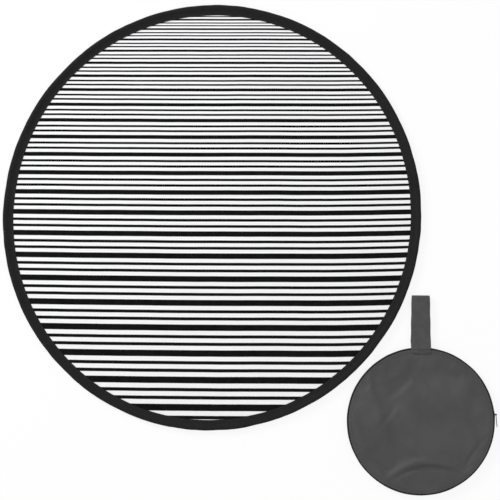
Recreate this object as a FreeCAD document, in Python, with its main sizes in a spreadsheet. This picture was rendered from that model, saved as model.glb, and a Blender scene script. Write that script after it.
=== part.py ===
# Collapsible round line panel with its carrying pouch, in millimetres.
#
# The panel lies open with its printed face up: X runs along the printed lines, Y across them, and the
# underside of its rim is z = 0. One steel hoop keeps it open. The sides fold up and over, so the hoop, the
# binding and both cloths are cut into seven strips that meet at six fold lines parallel to Y. The pouch lies
# beside the panel.

import FreeCAD, Part
import math
import os

V = FreeCAD.Vector
doc = FreeCAD.newDocument("LinePanel")

# ---------------------------------------------------------------- driving dimensions
DIMENSIONS = [
    ("rim_major", 404.5, "half of the open panel's longest width, over the binding"),
    ("rim_minor", 395.5, "half of its shortest width: a sewn hoop is never quite round"),
    ("rim_turn", 69.0, "direction of the longest width, degrees from X"),
    ("rim_height", 8.6, "thickness of the rim"),
    ("rim_width", 8.0, "width of the rounded rim round the hoop"),
    ("rim_round", 2.5, "rounding of the rim"),
    ("tape_width", 20.0, "binding tape seen from above"),
    ("tape_thick", 0.7, "binding tape"),
    ("cloth_thick", 0.4, "each of the two cloths"),
    ("channel_wall", 1.2, "binding outside the hoop's channel"),
    ("channel_width", 4.0, "hoop's channel, across"),
    ("channel_height", 7.0, "hoop's channel, up"),
    ("band_height", 6.0, "spring-steel band, on edge"),
    ("band_thick", 0.6, "spring-steel band"),
    ("sleeve_length", 32.0, "sleeve that joins the band's ends"),
    ("sleeve_height", 6.8, "sleeve"),
    ("sleeve_thick", 2.0, "sleeve, across"),
    ("rivet_radius", 0.9, "rivet shank"),
    ("rivet_head", 1.6, "rivet head radius"),
    ("rivet_head_thick", 0.4, "rivet head"),
    ("rivet_spacing", 16.0, "between the two rivets"),
    ("rivet_play", 0.35, "between a rivet's head and the sleeve"),
    ("strip_width", 96.0, "between two fold lines"),
    ("fold_gap", 0.2, "cut between two strips"),
    ("pouch_radius", 140.0, "pouch over its piping"),
    ("pouch_distance", 552.0, "panel centre to pouch centre"),
    ("pouch_bearing", -44.3, "direction of the pouch from the panel centre"),
    ("piping_radius", 1.2, "piping round the pouch's edges"),
    ("nylon_thick", 0.8, "pouch nylon and gusset"),
    ("gusset_height", 8.4, "pouch edge, floor to front seam"),
    ("front_crown", 4.0, "rise of the slack front panel"),
    ("zip_end_angle", 10.0, "the zip's ends, degrees above the pouch's centre line"),
    ("zip_gap", 1.2, "between the two tapes, where the slider's bridge runs"),
    ("coil_width", 1.4, "each half of the coil, up"),
    ("coil_depth", 1.8, "each half of the coil, out from the tape"),
    ("zip_trim", 0.2, "degrees that each tape stops short of the gusset"),
    ("stop_arc", 1.0, "degrees of the coil's end that a stop takes"),
    ("stop_stand", 0.2, "stop beyond the coil"),
    ("slider_length", 10.0, "zip slider"),
    ("slider_height", 4.6, "zip slider"),
    ("slider_plate", 0.9, "zip slider's outer and inner plates"),
    ("slider_play", 0.3, "play between the slider and what it runs on"),
    ("slider_back", 3.0, "degrees from the zip's end to the closed slider"),
    ("bridge_height", 0.6, "slider's bridge between the coils"),
    ("bridge_arc", 1.2, "degrees that the bridge takes, and its distance from the slider's end"),
    ("tab_length", 24.0, "pull tab"),
    ("tab_thick", 1.2, "pull tab"),
    ("lug_radius", 0.6, "bar of the slider's lug"),
    ("ear_thick", 0.8, "each ear of the lug, up"),
    ("ear_arc", 0.9, "degrees that an ear takes"),
    ("ear_root", 0.2, "ear sunk into the slider's plate"),
    ("tab_play", 0.2, "between the tab and each ear"),
    ("eye_radius", 1.0, "hole in the tab's end"),
    ("eye_wall", 0.8, "metal round the tab's hole"),
    ("strap_width", 38.0, "webbing strap"),
    ("strap_length", 98.0, "strap loop beyond the pouch's edge"),
    ("strap_thick", 1.3, "webbing"),
    ("strap_space", 5.2, "between the loop's two layers"),
    ("strap_lift", 0.6, "lower layer of the loop above the floor"),
    ("strap_gap", 0.5, "between the pouch's edge and the loop"),
    ("anchor_length", 22.0, "sewn tail of the strap on the pouch"),
    ("fold_stand", 1.0, "pouch's fold line beyond the zip's ends"),
]
sheet = doc.addObject("Spreadsheet::Sheet", "Dims")
for row, (alias, number, note) in enumerate(DIMENSIONS, 1):
    sheet.set("A%d" % row, alias)
    sheet.set("B%d" % row, str(number))
    sheet.set("C%d" % row, note)
    sheet.setAlias("B%d" % row, alias)
doc.recompute()
SIZE = {alias: float(sheet.get(alias)) for alias, number, note in DIMENSIONS}

NODES = []


def bind(thing, **expressions):
    """Binds properties of an object to expressions over the sheet's aliases, written without their prefix."""
    for name, expression in expressions.items():
        for alias in sorted(SIZE, key=len, reverse=True):
            expression = expression.replace("{%s}" % alias, "Dims." + alias)
        thing.setExpression(name, expression)
    return thing


def place(thing, x=None, y=None, z=None, turn=None):
    """Binds an object's Placement: its position, and its turn about Z."""
    for path, expression in (("x", x), ("y", y), ("z", z)):
        if expression is not None:
            bind(thing, **{"Placement.Base." + path: expression})
    if turn is not None:
        bind(thing, **{"Placement.Rotation.Angle": turn})
    return thing


def node(name, thing):
    """Names a finished sub-part."""
    thing.Label = name
    NODES.append(thing)
    return thing


def cut(name, base, tool):
    result = doc.addObject("Part::Cut", name)
    result.Base = base
    result.Tool = tool
    return result


def common(name, base, tool):
    result = doc.addObject("Part::Common", name)
    result.Base = base
    result.Tool = tool
    return result


def fuse(name, *shapes):
    result = doc.addObject("Part::MultiFuse", name)
    result.Shapes = list(shapes)
    return result


def group(name, *shapes):
    result = doc.addObject("Part::Compound", name)
    result.Links = list(shapes)
    return result


def box(name, length, width, height, **position):
    thing = bind(doc.addObject("Part::Box", name), Length=length, Width=width, Height=height)
    return place(thing, **position)


def cylinder(name, radius, height, angle="360", **position):
    thing = bind(doc.addObject("Part::Cylinder", name), Radius=radius, Height=height, Angle=angle)
    return place(thing, **position)


# ---------------------------------------------------------------- the panel, whole
def oval(name, inset, low, height):
    """An upright oval plate whose edge lies inset from the panel's outline."""
    outline = bind(
        doc.addObject("Part::Ellipse", name + "_outline"),
        MajorRadius="{rim_major} - (%s)" % inset,
        MinorRadius="{rim_minor} - (%s)" % inset,
    )
    outline.Placement.Rotation = FreeCAD.Rotation(V(0, 0, 1), SIZE["rim_turn"])
    place(outline, z=low, turn="{rim_turn}")
    plate = doc.addObject("Part::Extrusion", name)
    plate.Base = outline
    plate.DirMode = "Custom"
    plate.Dir = V(0, 0, 1)
    plate.Solid = True
    return bind(plate, LengthFwd=height)


def oval_ring(name, outer, inner, low, height):
    """An oval ring between two insets from the panel's outline."""
    return cut(name, oval(name + "_out", outer, low, height), oval(name + "_in", inner, low, height))


MIDDLE = "{rim_height} / 2"
CLOTH_LOW = MIDDLE + " - {cloth_thick}"
rim_block = oval_ring("rim_block", "0", "{rim_width}", "0", "{rim_height}")
doc.recompute()
rim_round = doc.addObject("Part::Fillet", "rim_round")
rim_round.Base = rim_block
rim_round.Edges = [
    (number, SIZE["rim_round"], SIZE["rim_round"])
    for number, edge in enumerate(rim_block.Shape.Edges, 1)
    if edge.BoundBox.ZLength < SIZE["fold_gap"]
]
channel = oval_ring(
    "channel",
    "{channel_wall}",
    "{channel_wall} + {channel_width}",
    MIDDLE + " - {channel_height} / 2",
    "{channel_height}",
)
rim_tube = cut("rim_tube", rim_round, channel)
# The tape's two edges grip the cloths between them. They start just inside the rim's inner wall.
upper_tape = oval_ring(
    "upper_tape", "{rim_width} - {tape_thick}", "{tape_width}", MIDDLE + " + {cloth_thick}", "{tape_thick}"
)
lower_tape = oval_ring(
    "lower_tape",
    "{rim_width} - {tape_thick}",
    "{tape_width}",
    CLOTH_LOW + " - {tape_thick}",
    "{tape_thick}",
)
binding_whole = fuse("binding_whole", rim_tube, upper_tape, lower_tape)

face_whole = oval("face_whole", "{rim_width}", MIDDLE, "{cloth_thick}")
back_whole = oval("back_whole", "{rim_width}", CLOTH_LOW, "{cloth_thick}")

BAND_INSET = "{channel_wall} + {channel_width} / 2"
band_ring = oval_ring(
    "band_ring",
    BAND_INSET + " - {band_thick} / 2",
    BAND_INSET + " + {band_thick} / 2",
    MIDDLE + " - {band_height} / 2",
    "{band_height}",
)

# ---------------------------------------------------------------- sleeve and rivets, at the hoop's right end
# The hoop crosses the X axis at this distance from the centre, measured to the middle of the band.
BAND_MAJOR = "({rim_major} - {channel_wall} - {channel_width} / 2)"
BAND_MINOR = "({rim_minor} - {channel_wall} - {channel_width} / 2)"
CROSSING = "%s * %s / sqrt((%s * cos({rim_turn} * 1deg)) ^ 2 + (%s * sin({rim_turn} * 1deg)) ^ 2)" % (
    BAND_MAJOR,
    BAND_MINOR,
    BAND_MINOR,
    BAND_MAJOR,
)
sleeve_ring = oval_ring(
    "sleeve_ring",
    BAND_INSET + " - {sleeve_thick} / 2",
    BAND_INSET + " + {sleeve_thick} / 2",
    MIDDLE + " - {sleeve_height} / 2",
    "{sleeve_height}",
)
sleeve_space = box(
    "sleeve_space",
    "{rim_width} * 4",
    "{sleeve_length}",
    "{rim_height}",
    x=CROSSING + " - {rim_width} * 2",
    y="-{sleeve_length} / 2",
)


def rivet_part(name, radius, length, side, start):
    """A round piece of a rivet, lying along X through the band; start is outward from the band's middle."""
    pin = doc.addObject("Part::Cylinder", name)
    pin.Placement.Rotation = FreeCAD.Rotation(V(0, 1, 0), 90)
    bind(pin, Radius=radius, Height=length)
    return place(pin, x=CROSSING + " + (%s)" % start, y="%s{rivet_spacing} / 2" % side, z=MIDDLE)


shanks = []
rivets = []
# The band curves away from its tangent here, so the heads stand off the sleeve by the rivet's play.
REACH = "({sleeve_thick} / 2 + {rivet_play})"
for label, side in (("lower", "-"), ("upper", "")):
    shank = rivet_part("shank_" + label, "{rivet_radius}", "2 * " + REACH, side, "-" + REACH)
    outer_head = rivet_part("outer_head_" + label, "{rivet_head}", "{rivet_head_thick}", side, REACH)
    inner_head = rivet_part(
        "inner_head_" + label,
        "{rivet_head}",
        "{rivet_head_thick}",
        side,
        "-" + REACH + " - {rivet_head_thick}",
    )
    shanks.append(shank)
    rivets.append(fuse("rivet_" + label, shank, outer_head, inner_head))
drill = group("drill", *shanks)
hoop_whole = cut("hoop_whole", band_ring, drill)
sleeve_block = common("sleeve_block", sleeve_ring, sleeve_space)
node("hoop_sleeve", cut("hoop_sleeve_cut", cut("sleeve_hollow", sleeve_block, band_ring), drill))
node("hoop_sleeve_rivets", group("rivet_pair", *rivets))

# ---------------------------------------------------------------- the seven strips
# Strips are named by side and by number outwards. Each entry is a name and its two fold lines, counted in
# strips. The outermost strips run past the rim, to this line.
OUTER_EDGE = 4.6
STRIPS = [
    ("left_3", -OUTER_EDGE, -2.5),
    ("left_2", -2.5, -1.5),
    ("left_1", -1.5, -0.5),
    ("centre", -0.5, 0.5),
    ("right_1", 0.5, 1.5),
    ("right_2", 1.5, 2.5),
    ("right_3", 2.5, OUTER_EDGE),
]
HALVES = [("upper", "0"), ("lower", "-{rim_major} - {tape_width}")]
for strip, first, last in STRIPS:
    start = "%g * {strip_width} + {fold_gap} / 2" % first
    length = "%g * {strip_width} - {fold_gap}" % (last - first)
    slab = box(
        "slab_" + strip,
        length,
        "2 * {rim_major} + 2 * {tape_width}",
        "{rim_height} + {tape_width}",
        x=start,
        y="-{rim_major} - {tape_width}",
        z="-{tape_width} / 2",
    )
    node("face_cloth_" + strip, common("face_" + strip, face_whole, slab))
    node("back_cloth_" + strip, common("back_" + strip, back_whole, slab))
    node("hoop_band_" + strip, common("band_" + strip, hoop_whole, slab))
    for half, low in HALVES:
        part_slab = box(
            "slab_%s_%s" % (strip, half),
            length,
            "{rim_major} + {tape_width}",
            "{rim_height} + {tape_width}",
            x=start,
            y=low,
            z="-{tape_width} / 2",
        )
        tape = common("tape_%s_%s" % (strip, half), binding_whole, part_slab)
        node("binding_%s_%s" % (strip, half), tape)

# ---------------------------------------------------------------- the pouch
POUCH_X = "{pouch_distance} * cos({pouch_bearing} * 1deg)"
POUCH_Y = "{pouch_distance} * sin({pouch_bearing} * 1deg)"
SKIN_OUT = "{pouch_radius} - 2 * {piping_radius}"
SKIN_IN = SKIN_OUT + " - {nylon_thick}"
ZIP_ARC = "180 + 2 * {zip_end_angle}"
CLOSED_ARC = "180 - 2 * {zip_end_angle}"
ZIP_START = "180 - {zip_end_angle}"


def sector(name, outer, inner, low, height, start="0", angle="360"):
    """A ring sector about the pouch's centre; angles in degrees from X."""
    out = cylinder(name + "_out", outer, height, angle, x=POUCH_X, y=POUCH_Y, z=low, turn=start)
    hollow = cylinder(name + "_in", inner, height, angle, x=POUCH_X, y=POUCH_Y, z=low, turn=start)
    return cut(name, out, hollow)


def piping(name, low, start="0", angle="360"):
    """A round cord sewn along the pouch's edge."""
    ring = bind(
        doc.addObject("Part::Torus", name),
        Radius1="{pouch_radius} - {piping_radius}",
        Radius2="{piping_radius}",
        Angle3=angle,
    )
    return place(ring, x=POUCH_X, y=POUCH_Y, z=low, turn=start)


node("pouch_back_panel", cylinder("pouch_back", SKIN_OUT, "{nylon_thick}", x=POUCH_X, y=POUCH_Y))
node("pouch_back_piping", piping("back_piping", "{piping_radius}"))
GUSSET_RISE = "{gusset_height} - {nylon_thick}"
node(
    "pouch_gusset",
    sector("gusset", SKIN_OUT, SKIN_IN, "{nylon_thick}", GUSSET_RISE, "{zip_end_angle}", CLOSED_ARC),
)

# The front panel is a shallow cap. It opens about the line that joins the zip's two ends.
CAP_RADIUS = "((%s) ^ 2 + {front_crown} ^ 2) / (2 * {front_crown})" % SKIN_OUT
CAP_CENTRE = "{gusset_height} + {nylon_thick} + {front_crown} - (%s)" % CAP_RADIUS
FOLD_Y = POUCH_Y + " + ({pouch_radius} - 2 * {piping_radius}) * sin({zip_end_angle} * 1deg) + {fold_stand}"
cap_edge = cylinder(
    "cap_edge", SKIN_OUT, "{front_crown} + {nylon_thick}", x=POUCH_X, y=POUCH_Y, z="{gusset_height}"
)
cap_top = place(
    bind(doc.addObject("Part::Sphere", "cap_top"), Radius=CAP_RADIUS), x=POUCH_X, y=POUCH_Y, z=CAP_CENTRE
)
cap_under = place(
    bind(doc.addObject("Part::Sphere", "cap_under"), Radius=CAP_RADIUS + " - {nylon_thick}"),
    x=POUCH_X,
    y=POUCH_Y,
    z=CAP_CENTRE,
)
cap = cut("cap", common("cap_solid", cap_edge, cap_top), cap_under)
front_space = box(
    "front_space",
    "2 * {pouch_radius}",
    "{pouch_radius}",
    "2 * {pouch_radius}",
    x=POUCH_X + " - {pouch_radius}",
    y=FOLD_Y + " + {fold_gap}",
)
flap_space = box(
    "flap_space",
    "2 * {pouch_radius}",
    "2 * {pouch_radius}",
    "2 * {pouch_radius}",
    x=POUCH_X + " - {pouch_radius}",
    y=FOLD_Y + " - 2 * {pouch_radius}",
)
node("pouch_front_panel", common("front", cap, front_space))
node("pouch_flap_panel", common("flap", cap, flap_space))
node(
    "pouch_front_piping",
    piping("front_piping", "{gusset_height} + {nylon_thick} / 2", "{zip_end_angle} + 1", CLOSED_ARC + " - 2"),
)
node(
    "pouch_flap_piping",
    piping("flap_piping", "{gusset_height} + {nylon_thick} / 2", ZIP_START, ZIP_ARC),
)

# ---------------------------------------------------------------- the zip
ZIP_MIDDLE = "({nylon_thick} + {gusset_height}) / 2"
UPPER_LOW = ZIP_MIDDLE + " + {zip_gap} / 2"
TAPE_HEIGHT = "({gusset_height} - {nylon_thick} - {zip_gap}) / 2"
TAPE_START = ZIP_START + " + {zip_trim}"
TAPE_ARC = ZIP_ARC + " - 2 * {zip_trim}"
COIL_OUT = SKIN_OUT + " + {coil_depth}"
COIL_LOW = ZIP_MIDDLE + " - {zip_gap} / 2 - {coil_width}"
COIL_START = ZIP_START + " + 2 * {stop_arc}"
COIL_ARC = ZIP_ARC + " - 4 * {stop_arc}"
for half, tape_low, coil_low in (("lower", "{nylon_thick}", COIL_LOW), ("upper", UPPER_LOW, UPPER_LOW)):
    tape = sector("zip_tape_" + half, SKIN_OUT, SKIN_IN, tape_low, TAPE_HEIGHT, TAPE_START, TAPE_ARC)
    node("zip_tape_" + half, tape)
    coil = sector("zip_coil_" + half, COIL_OUT, SKIN_OUT, coil_low, "{coil_width}", COIL_START, COIL_ARC)
    node("zip_coil_" + half, coil)


def stop(name, low, start):
    """A stop clamped on the end of a coil."""
    return sector(name, COIL_OUT + " + {stop_stand}", SKIN_OUT, low, "{coil_width}", start, "{stop_arc}")


TOP_STOP_START = "{zip_end_angle} - 2 * {stop_arc}"
node("zip_top_stop_lower", stop("stop_low", COIL_LOW, TOP_STOP_START))
node("zip_top_stop_upper", stop("stop_up", UPPER_LOW, TOP_STOP_START))
node("zip_bottom_stop", stop("stop_end", COIL_LOW, ZIP_START + " + {stop_arc} - {zip_trim}"))

# The slider: an outer and an inner plate, joined by a thin bridge that runs between the two coils.
SLIDER_LOW = ZIP_MIDDLE + " - {slider_height} / 2"
SLIDER_ARC = "{slider_length} / {pouch_radius} * 180 / pi"
SLIDER_START = "{zip_end_angle} - {slider_back} - " + SLIDER_ARC
OUT_PLATE = COIL_OUT + " + {slider_play}"
IN_PLATE = SKIN_IN + " - {slider_play}"
PLATE_FACE = OUT_PLATE + " + {slider_plate}"


def slider_plate(name, outer, inner):
    """One of the slider's two curved plates."""
    return sector(name, outer, inner, SLIDER_LOW, "{slider_height}", SLIDER_START, SLIDER_ARC)


outer_plate = slider_plate("outer_plate", PLATE_FACE, OUT_PLATE)
inner_plate = slider_plate("inner_plate", IN_PLATE, IN_PLATE + " - {slider_plate}")
bridge = sector(
    "bridge",
    OUT_PLATE + " + {slider_plate} / 2",
    IN_PLATE + " - {slider_plate} / 2",
    ZIP_MIDDLE + " - {bridge_height} / 2",
    "{bridge_height}",
    SLIDER_START + " + {bridge_arc}",
    "{bridge_arc}",
)
# The lug: two ears on the outer plate and a bar between them, upright, that the tab's eye turns on.
LUG_REACH = "{eye_radius} + {lug_radius} + {eye_wall}"
LUG_ANGLE = "({zip_end_angle} - {slider_back} - " + SLIDER_ARC + " * 0.45)"
LUG_X = POUCH_X + " + (%s + %s) * cos(%s * 1deg)" % (PLATE_FACE, LUG_REACH, LUG_ANGLE)
LUG_Y = POUCH_Y + " + (%s + %s) * sin(%s * 1deg)" % (PLATE_FACE, LUG_REACH, LUG_ANGLE)
EAR_OUT = PLATE_FACE + " + %s + {lug_radius}" % LUG_REACH
EAR_IN = PLATE_FACE + " - {ear_root}"
EAR_START = LUG_ANGLE + " - {ear_arc} / 2"
low_ear = sector("low_ear", EAR_OUT, EAR_IN, SLIDER_LOW, "{ear_thick}", EAR_START, "{ear_arc}")
HIGH_EAR = SLIDER_LOW + " + {slider_height} - {ear_thick}"
high_ear = sector("high_ear", EAR_OUT, EAR_IN, HIGH_EAR, "{ear_thick}", EAR_START, "{ear_arc}")
lug_bar = cylinder("lug_bar", "{lug_radius}", "{slider_height}", x=LUG_X, y=LUG_Y, z=SLIDER_LOW)
node("zip_slider", fuse("slider", outer_plate, inner_plate, bridge, lug_bar, low_ear, high_ear))

# The tab: a flat strip with an eye round the lug's bar, lying back along the zip that is already closed.
TAB_HEIGHT = "{slider_height} - 2 * {ear_thick} - 2 * {tab_play}"
TAB_LOW = SLIDER_LOW + " + {ear_thick} + {tab_play}"
tab_eye = cylinder("tab_eye", "{eye_radius} + {eye_wall}", TAB_HEIGHT, x=LUG_X, y=LUG_Y, z=TAB_LOW)
tab_strip = box("tab_strip", "{tab_length}", "{tab_thick}", TAB_HEIGHT)
tab_strip.Placement.Rotation = FreeCAD.Rotation(V(0, 0, 1), -90)
place(
    tab_strip,
    x=LUG_X + " - {tab_thick} / 2 * cos(%s * 1deg)" % LUG_ANGLE,
    y=LUG_Y + " - {tab_thick} / 2 * sin(%s * 1deg)" % LUG_ANGLE,
    z=TAB_LOW,
    turn=LUG_ANGLE + " - 90",
)
tab_hole = cylinder("tab_hole", "{eye_radius}", "{rim_height} * 2", x=LUG_X, y=LUG_Y)
node("zip_pull_tab", cut("tab_cut", fuse("tab_blank", tab_eye, tab_strip), tab_hole))

# ---------------------------------------------------------------- the strap
# The loop is one length of webbing, folded back on itself at its far end. Its tail is sewn to the pouch.
EDGE_Y = POUCH_Y + " + {pouch_radius}"
LOOP_HEIGHT = "({strap_space} + 2 * {strap_thick})"
LOOP_STRAIGHT = "{strap_length} - %s / 2" % LOOP_HEIGHT
STRAP_LEFT = POUCH_X + " - {strap_width} / 2"


def loop_block(name, inset):
    """A flat block with a half-round far end, inset from the loop's outside."""
    straight = box(
        name + "_straight",
        "{strap_width}",
        LOOP_STRAIGHT,
        LOOP_HEIGHT + " - 2 * (%s)" % inset,
        x=STRAP_LEFT,
        y=EDGE_Y + " + {strap_gap}",
        z="{strap_lift} + (%s)" % inset,
    )
    turn_back = doc.addObject("Part::Cylinder", name + "_end")
    turn_back.Placement.Rotation = FreeCAD.Rotation(V(0, 1, 0), 90)
    bind(turn_back, Radius=LOOP_HEIGHT + " / 2 - (%s)" % inset, Height="{strap_width}")
    place(
        turn_back,
        x=STRAP_LEFT,
        y=EDGE_Y + " + {strap_gap} + " + LOOP_STRAIGHT,
        z="{strap_lift} + %s / 2" % LOOP_HEIGHT,
    )
    return fuse(name, straight, turn_back)


loop_outside = loop_block("strap_outside", "0")
loop_inside = loop_block("strap_inside", "{strap_thick}")
node("strap_loop", cut("strap_cut", loop_outside, loop_inside))
# The tail lies flat on the front panel beside the gusset seam, and goes over the piping to the loop.
ANCHOR_LOW = "{gusset_height} + {nylon_thick} + {piping_radius}"
node(
    "strap_anchor",
    box(
        "anchor",
        "{strap_width}",
        "{anchor_length}",
        "{strap_thick}",
        x=STRAP_LEFT,
        y=EDGE_Y + " - {anchor_length}",
        z=ANCHOR_LOW,
    ),
)
doc.recompute()
for thing in NODES:
    shape = thing.Shape
    print(thing.Label, thing.State, shape.isValid(), len(shape.Solids), round(shape.Volume, 1))
print("nodes", len(NODES))

# ---------------------------------------------------------------- checks and files
for thing in doc.Objects:
    if "Invalid" in thing.State or "Error" in thing.State:
        raise RuntimeError("%s did not rebuild" % thing.Label)
for thing in NODES:
    if thing.Shape.isNull() or not thing.Shape.isValid() or not thing.Shape.Solids:
        raise RuntimeError("%s has no valid solid" % thing.Label)
os.makedirs("parts", exist_ok=True)
for thing in NODES:
    thing.Shape.exportStep("parts/%s.step" % thing.Label)
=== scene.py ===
# %% [markdown]
# # A pop-up line panel and its pouch
# The panel is a loop of flat spring steel sewn into an edge binding, with cloth stretched across it. It
# twists down into a round pouch. It lies open on the floor, printed face up, with the pouch beside it. The
# measured frame is loaded first, because every piece made here has to sit on it and move with it.

# %% Load the frame
import bisect
import math

import bmesh
import bpy
from mathutils import Matrix, Vector, noise
from mathutils.bvhtree import BVHTree


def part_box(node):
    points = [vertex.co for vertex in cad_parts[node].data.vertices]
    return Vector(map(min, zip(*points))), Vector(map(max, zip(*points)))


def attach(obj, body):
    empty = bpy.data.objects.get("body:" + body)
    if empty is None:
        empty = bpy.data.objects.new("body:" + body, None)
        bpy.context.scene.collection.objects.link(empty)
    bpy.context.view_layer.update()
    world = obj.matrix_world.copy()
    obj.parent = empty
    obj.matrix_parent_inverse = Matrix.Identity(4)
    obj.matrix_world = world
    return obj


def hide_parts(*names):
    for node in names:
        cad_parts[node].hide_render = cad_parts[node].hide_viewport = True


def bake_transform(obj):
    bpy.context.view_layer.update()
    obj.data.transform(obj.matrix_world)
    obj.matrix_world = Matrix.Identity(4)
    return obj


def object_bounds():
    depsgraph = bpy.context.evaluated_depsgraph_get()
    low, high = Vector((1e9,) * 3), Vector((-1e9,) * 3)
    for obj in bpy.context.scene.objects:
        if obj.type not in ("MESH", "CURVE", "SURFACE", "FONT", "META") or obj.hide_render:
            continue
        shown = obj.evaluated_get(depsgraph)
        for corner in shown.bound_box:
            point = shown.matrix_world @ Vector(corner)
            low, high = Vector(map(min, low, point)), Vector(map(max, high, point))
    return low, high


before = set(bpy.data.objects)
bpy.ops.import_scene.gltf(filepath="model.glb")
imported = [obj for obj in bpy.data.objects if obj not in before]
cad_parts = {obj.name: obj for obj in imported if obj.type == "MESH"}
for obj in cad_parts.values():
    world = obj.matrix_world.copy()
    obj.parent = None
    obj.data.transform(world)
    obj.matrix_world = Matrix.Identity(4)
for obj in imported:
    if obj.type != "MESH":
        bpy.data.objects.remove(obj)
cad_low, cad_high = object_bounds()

# %% [markdown]
# ## Sizes
# Everything is in metres. The outline is an oval, a little longer one way, because a sewn hoop is never
# quite round. Heights and the pouch's place are read from the frame's own boxes, so they can't drift from
# it.

# %% Sizes of the panel and the pouch
MM = 0.001
RIM_MAJOR, RIM_MINOR = 404.5 * MM, 395.5 * MM
RIM_TURN = math.radians(69.0)
TAPE_WIDTH = 20.0 * MM
TAPE_THICK = 0.7 * MM
CLOTH_THICK = 0.4 * MM
CLOTH_INSET = 8.0 * MM
STRIP = 96.0 * MM
rim_low, rim_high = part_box("binding_right_3_upper")
RIM_MID = (rim_low[2] + rim_high[2]) / 2
RIM_HALF = (rim_high[2] - rim_low[2]) / 2

back_low, back_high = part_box("pouch_back_panel")
POUCH = Vector(((back_low[0] + back_high[0]) / 2, (back_low[1] + back_high[1]) / 2, 0))
PIPE_RADIUS = 1.2 * MM
SKIN_RADIUS = (back_high[0] - back_low[0]) / 2
POUCH_RADIUS = SKIN_RADIUS + 2 * PIPE_RADIUS
NYLON = back_high[2] - back_low[2]
GUSSET_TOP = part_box("pouch_gusset")[1][2]
FRONT_EDGE = GUSSET_TOP + NYLON
ZIP_MID = (NYLON + GUSSET_TOP) / 2
print("pouch at", [round(v, 4) for v in POUCH], "radius", round(POUCH_RADIUS, 4))

# %% [markdown]
# ## The oval
# A turned oval answers two questions: where is the point at a given angle, and how far does the cloth reach
# at a given x? The first follows the rim round. The second fills the panel with columns of cloth.

# %% Points and reaches of the oval
TURN = Matrix.Rotation(RIM_TURN, 2)


def on_oval(angle, inset):
    """The point at an angle round the oval, inset from the panel's outline."""
    return TURN @ Vector(((RIM_MAJOR - inset) * math.cos(angle), (RIM_MINOR - inset) * math.sin(angle)))


def oval_form(inset):
    """The oval as a quadratic form xx*x*x + 2*xy*x*y + yy*y*y = 1."""
    c, s = math.cos(RIM_TURN), math.sin(RIM_TURN)
    p, q = 1 / (RIM_MAJOR - inset) ** 2, 1 / (RIM_MINOR - inset) ** 2
    return p * c * c + q * s * s, (p - q) * c * s, p * s * s + q * c * c


def reach(x, inset):
    """Lowest and highest y of the oval at x."""
    xx, xy, yy = oval_form(inset)
    root = math.sqrt(max((xy * x) ** 2 - yy * (xx * x * x - 1), 0.0))
    return (-xy * x - root) / yy, (-xy * x + root) / yy


def half_width(inset):
    xx, xy, yy = oval_form(inset)
    return math.sqrt(1 / (xx - xy * xy / yy))


print("panel is", round(2 * half_width(0), 4), "m wide")

# %% [markdown]
# ## Meshes
# Most pieces are built from lists of points and faces. Each vertex also keeps a place on its flat cloth, in
# metres, as a UV map. Weave and print are drawn from that map, so they stay on the cloth when the panel
# folds.

# %% Mesh helpers
def mesh_object(name, points, faces, flat=None):
    """An object from points and faces; flat gives each point's place on its cloth."""
    mesh = bpy.data.meshes.new(name)
    mesh.from_pydata([tuple(p) for p in points], [], faces)
    mesh.validate()
    layer = mesh.uv_layers.new(name="cloth")
    places = [(p[0], p[1]) for p in points] if flat is None else flat
    for loop in mesh.loops:
        layer.data[loop.index].uv = places[loop.vertex_index]
    mesh.polygons.foreach_set("use_smooth", [True] * len(mesh.polygons))
    mesh.update()
    thing = bpy.data.objects.new(name, mesh)
    bpy.context.scene.collection.objects.link(thing)
    return thing


def grid_faces(rows, columns, closed_rows=False, closed_columns=False):
    """Faces of a grid whose points are listed row by row."""
    faces = []
    for r in range(rows if closed_rows else rows - 1):
        for c in range(columns if closed_columns else columns - 1):
            nr, nc = (r + 1) % rows, (c + 1) % columns
            faces.append((r * columns + c, r * columns + nc, nr * columns + nc, nr * columns + c))
    return faces


def wander(x, y, size, seed):
    """Smooth noise from -1 to 1 over a surface, with features of about size metres."""
    return noise.noise(Vector((x / size, y / size, seed)))


# %% [markdown]
# ## Shader helpers
# Materials are node trees. A small class keeps them readable: it makes a node, sets or links its inputs by
# name, and hands back an output. The math helper lets a formula be written as nested calls.

# %% Shader helpers
class Net:
    def __init__(self, tree):
        self.tree = tree

    def feed(self, socket, value):
        """Links an input to an output, or sets it to a plain value."""
        if isinstance(value, bpy.types.NodeSocket):
            self.tree.links.new(value, socket)
        else:
            socket.default_value = value

    def node(self, kind, inputs=(), out=0, **settings):
        made = self.tree.nodes.new("ShaderNode" + kind)
        for name, value in settings.items():
            setattr(made, name, value)
        for name, value in dict(inputs).items():
            self.feed(made.inputs[name], value)
        return made.outputs[out]

    def math(self, operation, *values):
        return self.node("Math", dict(enumerate(values)), operation=operation)

    def mix(self, factor, a, b):
        sockets = {0: factor, 6: a, 7: b}
        return self.node("Mix", sockets, out=2, data_type="RGBA")

    def fade(self, value, low, high, to_low=0.0, to_high=1.0):
        sockets = {"Value": value, "From Min": low, "From Max": high, "To Min": to_low, "To Max": to_high}
        return self.node("MapRange", sockets, clamp=True, interpolation_type="SMOOTHSTEP")


def new_group(name, inputs, outputs):
    """An empty shader group with named sockets; inputs map a name to a default, or to None for a vector."""
    tree = bpy.data.node_groups.new(name, "ShaderNodeTree")
    for label, default in inputs.items():
        kind = "NodeSocketVector" if default is None else "NodeSocketFloat"
        socket = tree.interface.new_socket(label, in_out="INPUT", socket_type=kind)
        if default is not None:
            socket.default_value = default
    for label in outputs:
        tree.interface.new_socket(label, in_out="OUTPUT", socket_type="NodeSocketFloat")
    net = Net(tree)
    entry = tree.nodes.new("NodeGroupInput")
    leave = tree.nodes.new("NodeGroupOutput")
    return tree, net, entry, leave


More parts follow.
